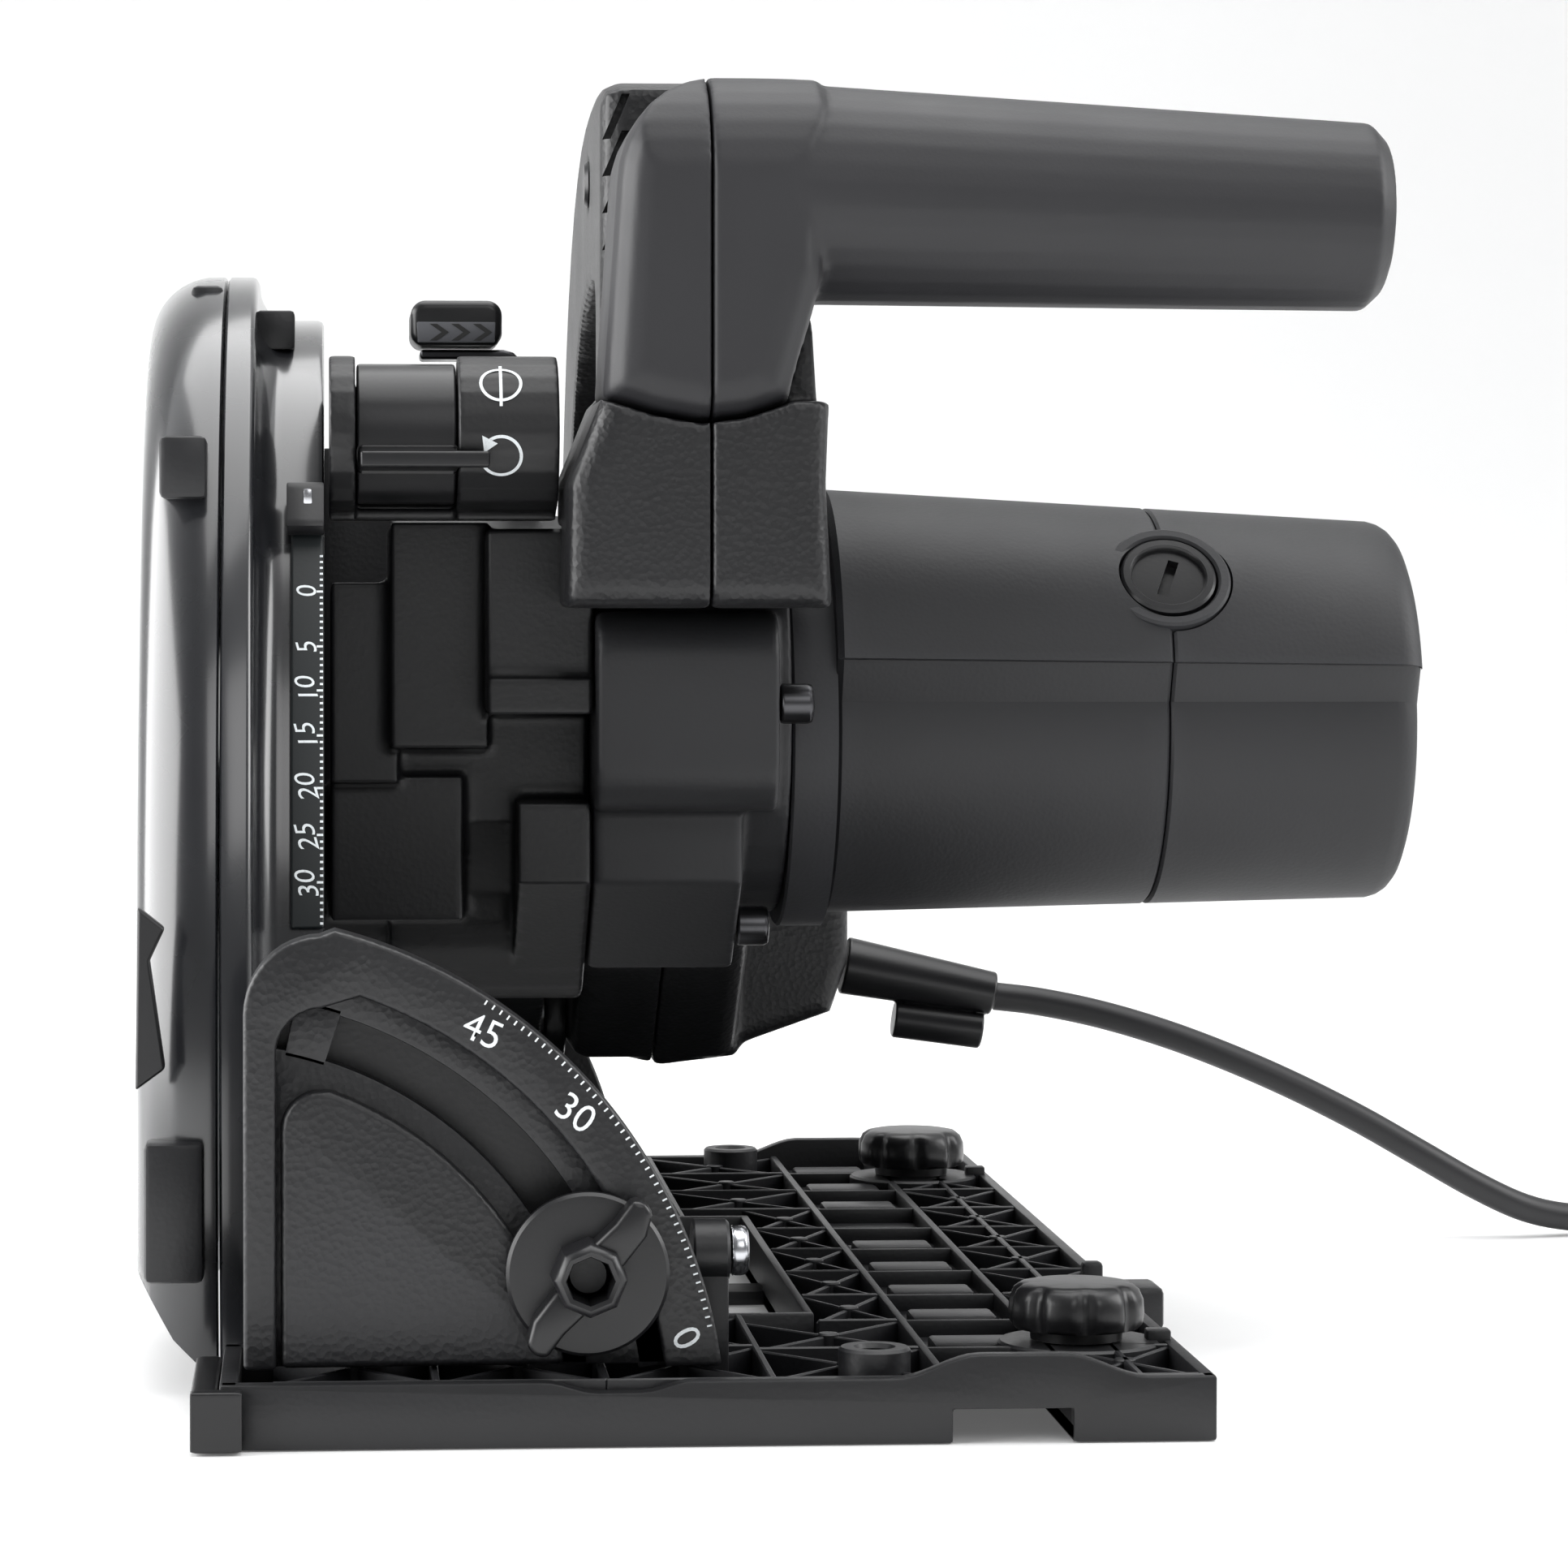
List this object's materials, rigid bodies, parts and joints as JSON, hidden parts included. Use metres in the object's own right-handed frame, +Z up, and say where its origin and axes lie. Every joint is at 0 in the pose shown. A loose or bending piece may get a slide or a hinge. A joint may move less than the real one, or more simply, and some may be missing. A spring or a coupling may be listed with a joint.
{
  "type": "circular saw",
  "caption": "Corded plunge circular saw with enclosed blade guard, tilting head on two quadrants, ribbed sole with rail groove, loop handle and front grip.",
  "frame": {"origin": "middle of the sole's underside", "axes": "+X from the blade towards the motor, +Y towards the back of the saw, +Z up"},
  "size_m": [0.4621, 0.344, 0.2543],
  "materials": {
    "casting": "black powder-coated die casting",
    "housing": "charcoal moulded plastic with fine spark texture",
    "grip": "satin charcoal plastic",
    "cover": "smooth semi-gloss black",
    "knob": "black, slightly glossy",
    "scale": "black with white numbers",
    "steel": "ground steel",
    "blackSteel": "black oxide",
    "zinc": "bright zinc plate",
    "copper": "copper windings",
    "carbon": "graphite",
    "cord": "black rubber cable"
  },
  "bodies": {
    "base": {"base_plate": "casting", "front_quadrant": "casting", "rear_quadrant": "casting", "splinter_guard": "knob", "bevel_stop_screw": "zinc", "cord": "cord", "cord_coil": "cord", "plug": "knob"},
    "front_rail_knob": {"front_rail_knob": "knob"},
    "rear_rail_knob": {"rear_rail_knob": "knob"},
    "tilt_frame": {"guard_housing": "cover", "guard_cover": "cover", "cut_indicator": "knob", "depth_scale": "scale", "front_trunnion": "casting", "rear_trunnion": "casting", "return_spring": "steel", "plunge_pin": "steel", "dust_port": "housing"},
    "depth_stop": {"depth_stop": "zinc"},
    "front_bevel_knob": {"front_bevel_knob": "knob"},
    "rear_bevel_knob": {"rear_bevel_knob": "knob"},
    "plunge_head": {"gear_housing": "casting", "gear_cover": "housing", "case_screw_upper": "blackSteel", "case_screw_lower": "blackSteel", "motor_housing": "housing", "motor_end_cap": "housing", "front_brush_cap": "knob", "rear_brush_cap": "knob", "front_brush": "carbon", "rear_brush": "carbon", "stator": "steel", "rotor_front_bearing": "steel", "rotor_rear_bearing": "steel", "spindle_outer_bearing": "steel", "spindle_inner_bearing": "steel", "handle_left": "housing", "handle_right": "housing", "grip_left": "grip", "grip_right": "grip", "strain_relief": "knob", "selector_barrel": "casting", "riving_knife": "steel"},
    "trigger": {"trigger": "knob"},
    "lock_off": {"lock_off_button": "knob"},
    "selector": {"selector_lever": "knob"},
    "release": {"release_arm": "blackSteel", "release_pad": "knob"},
    "blade": {"saw_blade": "steel", "blade_spindle": "steel", "inner_flange": "blackSteel", "outer_flange": "blackSteel", "blade_bolt": "blackSteel", "spindle_gear": "steel"},
    "idler": {"intermediate_gear": "steel"},
    "rotor": {"rotor_shaft": "steel", "armature": "copper", "commutator": "copper", "cooling_fan": "knob"}
  },
  "joints": [
    {"name": "tilt", "type": "hinge", "parent": "base", "child": "tilt_frame", "pos_m": [-0.091, 0, 0], "axis": [0, -1, 0], "range_deg": [0, 45]},
    {"name": "plunge", "type": "hinge", "parent": "tilt_frame", "child": "plunge_head", "pos_m": [0, 0.1, 0.0545], "axis": [1, 0, 0], "range_deg": [0, 32], "stiffness_Nm_per_rad": 8, "springref_deg": -34.38},
    {"name": "blade_spin", "type": "hinge", "parent": "plunge_head", "child": "blade", "pos_m": [-0.09, -0.0082, 0.089], "axis": [1, 0, 0], "continuous": true},
    {"name": "idler_spin", "type": "hinge", "parent": "plunge_head", "child": "idler", "pos_m": [-0.03, 0.0044, 0.1127], "axis": [1, 0, 0], "continuous": true},
    {"name": "rotor_spin", "type": "hinge", "parent": "plunge_head", "child": "rotor", "pos_m": [0.05, -0.01, 0.127], "axis": [1, 0, 0], "continuous": true},
    {"name": "depth_setting", "type": "hinge", "parent": "tilt_frame", "child": "depth_stop", "pos_m": [-0.073, 0.1, 0.0545], "axis": [1, 0, 0], "range_deg": [0, 29]},
    {"name": "front_bevel_clamp", "type": "hinge", "parent": "tilt_frame", "child": "front_bevel_knob", "pos_m": [-0.02288, -0.16, 0.02891], "axis": [0, -1, 0], "range_deg": [-50, 50]},
    {"name": "rear_bevel_clamp", "type": "hinge", "parent": "tilt_frame", "child": "rear_bevel_knob", "pos_m": [-0.02288, 0.16, 0.02891], "axis": [0, 1, 0], "range_deg": [-50, 50]},
    {"name": "front_rail_play", "type": "hinge", "parent": "base", "child": "front_rail_knob", "pos_m": [0.0695, -0.127, 0.015], "axis": [0, 0, 1], "range_deg": [-90, 90]},
    {"name": "rear_rail_play", "type": "hinge", "parent": "base", "child": "rear_rail_knob", "pos_m": [0.0695, 0.127, 0.015], "axis": [0, 0, 1], "range_deg": [-90, 90]},
    {"name": "trigger_pull", "type": "hinge", "parent": "plunge_head", "child": "trigger", "pos_m": [0.005, 0.024, 0.219], "axis": [-1, 0, 0], "range_deg": [0, 7], "stiffness_Nm_per_rad": 0.4, "springref_deg": -5.73},
    {"name": "lock_off_press", "type": "slide", "parent": "plunge_head", "child": "lock_off", "axis": [1, 0, 0], "range_m": [0, 0.003], "stiffness_N_per_m": 300, "springref_m": -0.001},
    {"name": "selector_turn", "type": "hinge", "parent": "plunge_head", "child": "selector", "pos_m": [-0.053, -0.06, 0.1812], "axis": [-1, 0, 0], "range_deg": [0, 48]},
    {"name": "release_press", "type": "hinge", "parent": "plunge_head", "child": "release", "pos_m": [-0.03, 0.015, 0.176], "axis": [1, 0, 0], "range_deg": [0, 9], "stiffness_Nm_per_rad": 1, "springref_deg": -5.73}
  ],
  "couplings": [
    {"joint": "idler_spin", "follows": "blade_spin", "ratio": -2.7857},
    {"joint": "rotor_spin", "follows": "blade_spin", "ratio": 5.5714}
  ]
}
